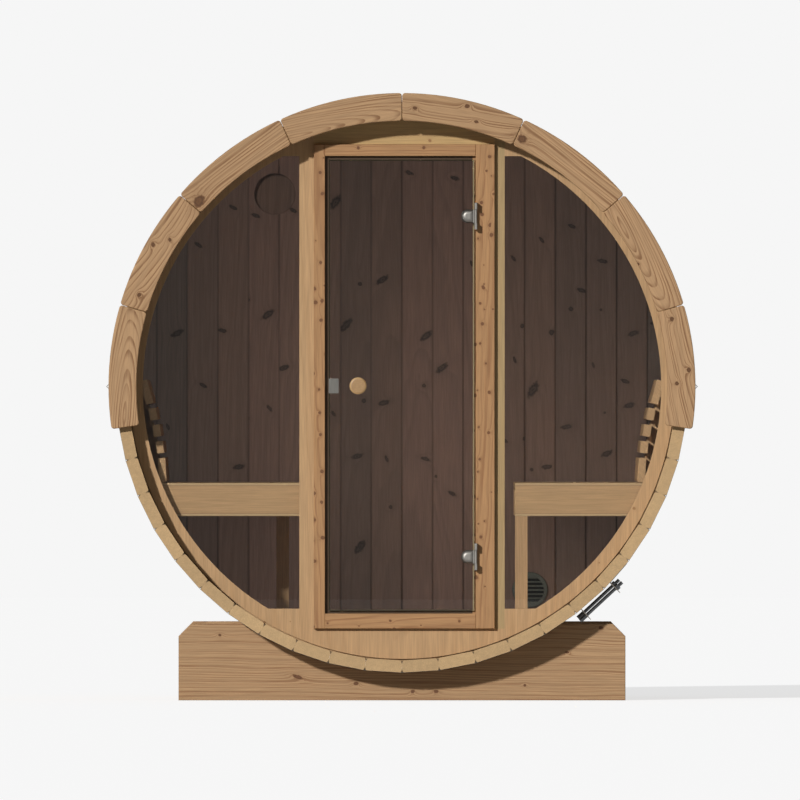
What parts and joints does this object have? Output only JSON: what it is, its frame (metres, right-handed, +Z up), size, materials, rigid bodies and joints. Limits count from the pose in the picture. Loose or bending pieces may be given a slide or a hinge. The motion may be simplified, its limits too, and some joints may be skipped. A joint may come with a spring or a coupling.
{
  "type": "barrel sauna",
  "caption": "Barrel sauna of bevelled timber staves with a glazed front wall, a hinged glass door, side benches with backrests and timber cradles",
  "frame": {"origin": "on the ground at the middle of the barrel's length and width", "axes": "+X to the right as seen from the front, -Y towards the front where the door is, +Z up; the barrel's axis runs along Y"},
  "size_m": [2.074, 1.884, 2.1289],
  "materials": {
    "stave_spruce": "planed, bare",
    "arch_spruce": "planed, bare",
    "front_spruce": "planed, bare",
    "frame_spruce": "planed, bare",
    "cradle_spruce": "planed, bare",
    "interior_wood": "planed, bare",
    "heat_treated_wood": "planed, bare",
    "dark_plastic": "fine satin",
    "band_steel": "bright rolled",
    "rod_steel": "dark zinc",
    "clear_glass": "polished",
    "knob_wood": "turned, bare",
    "hinge_metal": "satin",
    "catch_metal": "satin"
  },
  "bodies": {
    "cabin": {"staves_1": "stave_spruce", "staves_2": "stave_spruce", "staves_3": "stave_spruce", "staves_4": "stave_spruce", "staves_5": "stave_spruce", "staves_6": "stave_spruce", "staves_7": "stave_spruce", "staves_8": "stave_spruce", "front_arch_left": "arch_spruce", "front_arch_right": "arch_spruce", "rear_arch_left": "arch_spruce", "rear_arch_right": "arch_spruce", "front_lower_panel": "front_spruce", "front_post_left": "front_spruce", "front_post_right": "front_spruce", "front_head_panel": "front_spruce", "window_rim_left": "front_spruce", "window_rim_right": "front_spruce", "door_jamb_left": "frame_spruce", "door_jamb_right": "frame_spruce", "door_head": "frame_spruce", "door_sill": "frame_spruce", "cradle_front": "cradle_spruce", "cradle_rear": "cradle_spruce", "floor_deck": "interior_wood", "floor_bearers": "interior_wood", "bench_seat_left": "interior_wood", "bench_seat_right": "interior_wood", "bench_aprons_left": "interior_wood", "bench_aprons_right": "interior_wood", "bench_bearers_left": "interior_wood", "bench_bearers_right": "interior_wood", "bench_legs": "interior_wood", "backrest_left": "interior_wood", "backrest_right": "interior_wood", "backrest_brackets_left": "interior_wood", "backrest_brackets_right": "interior_wood", "back_wall": "heat_treated_wood", "vent_cover": "heat_treated_wood", "vent_grille": "dark_plastic", "steel_bands": "band_steel", "band_tighteners": "rod_steel", "window_glass_left": "clear_glass", "window_glass_right": "clear_glass", "hinge_bars": "hinge_metal"},
    "door": {"door_glass": "clear_glass", "door_knob": "knob_wood", "hinge_clamps": "hinge_metal", "catch_plate": "catch_metal"}
  },
  "joints": [
    {"name": "door_hinge", "type": "hinge", "parent": "cabin", "child": "door", "pos_m": [0.259, -0.847, 1.101], "axis": [0, 0, 1], "range_deg": [0, 110]}
  ]
}
